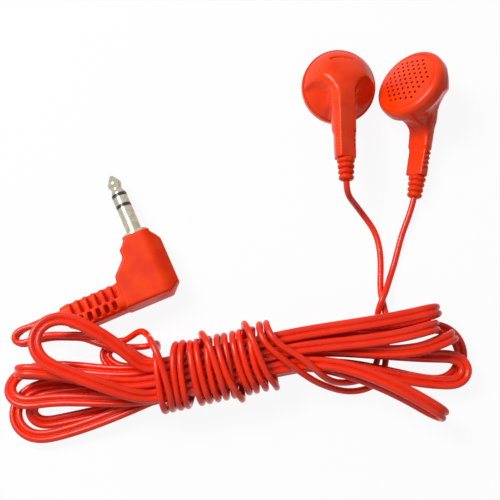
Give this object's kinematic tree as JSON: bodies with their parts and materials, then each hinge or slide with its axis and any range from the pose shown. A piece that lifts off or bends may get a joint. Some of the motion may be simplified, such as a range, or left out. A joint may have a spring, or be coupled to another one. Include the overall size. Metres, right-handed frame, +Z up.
{
  "type": "wired earphones",
  "caption": "Wired earphones: two round earbuds with stems, and a right-angle jack plug on a twin cord tied in a hank by its own two leads.",
  "frame": {"origin": "on the table under the middle of the two earbuds' bounding box, their strain reliefs included", "axes": "+Z up from the table, +Y from the hank towards the earbuds, +X from the left earbud towards the right one"},
  "size_m": [0.1008, 0.0894, 0.0153],
  "materials": {
    "shell_plastic": "smooth moulded plastic",
    "boot_rubber": "soft moulded plastic",
    "cord_jacket": "soft smooth jacket",
    "plug_plastic": "satin moulded plastic",
    "nickel": "nickel plated",
    "black_insulator": "glossy",
    "grille_cloth": "fine cloth",
    "frame_metal": "stamped",
    "clear_film": "thin film",
    "copper_wire": "enamelled copper wire",
    "steel": "zinc plated",
    "magnet": "nickel plated magnet",
    "circuit_board": "solder masked",
    "felt": "pressed felt"
  },
  "bodies": {
    "earphones": {"left_front_cover": "shell_plastic", "left_grille_cloth": "grille_cloth", "left_driver_frame": "frame_metal", "left_surround": "clear_film", "left_pole_plate": "steel", "left_magnet": "magnet", "left_yoke": "steel", "left_terminal_board": "circuit_board", "left_vent_felt": "felt", "left_rear_shell": "shell_plastic", "left_lead_clamp": "nickel", "left_strain_relief": "boot_rubber", "right_front_cover": "shell_plastic", "right_grille_cloth": "grille_cloth", "right_driver_frame": "frame_metal", "right_surround": "clear_film", "right_pole_plate": "steel", "right_magnet": "magnet", "right_yoke": "steel", "right_terminal_board": "circuit_board", "right_vent_felt": "felt", "right_rear_shell": "shell_plastic", "right_lead_clamp": "nickel", "right_strain_relief": "boot_rubber", "plug_body": "plug_plastic", "jack_sleeve": "nickel", "jack_ring": "nickel", "jack_tip": "nickel", "jack_rear_insulator": "black_insulator", "jack_front_insulator": "black_insulator", "jack_carrier": "nickel", "main_lead": "cord_jacket", "cord_hank": "cord_jacket", "left_winding": "cord_jacket", "right_winding": "cord_jacket", "left_lead": "cord_jacket", "right_lead": "cord_jacket"},
    "left_cone": {"left_diaphragm": "clear_film", "left_voice_coil": "copper_wire"},
    "right_cone": {"right_diaphragm": "clear_film", "right_voice_coil": "copper_wire"}
  },
  "joints": [
    {"name": "left_cone_travel", "type": "slide", "parent": "earphones", "child": "left_cone", "axis": [-0.0698, 0.2413, -0.9679], "range_m": [-0.0002, 0.0002], "stiffness_N_per_m": 60},
    {"name": "right_cone_travel", "type": "slide", "parent": "earphones", "child": "right_cone", "axis": [-0.657, 0.282, 0.6991], "range_m": [-0.0002, 0.0002], "stiffness_N_per_m": 60}
  ]
}
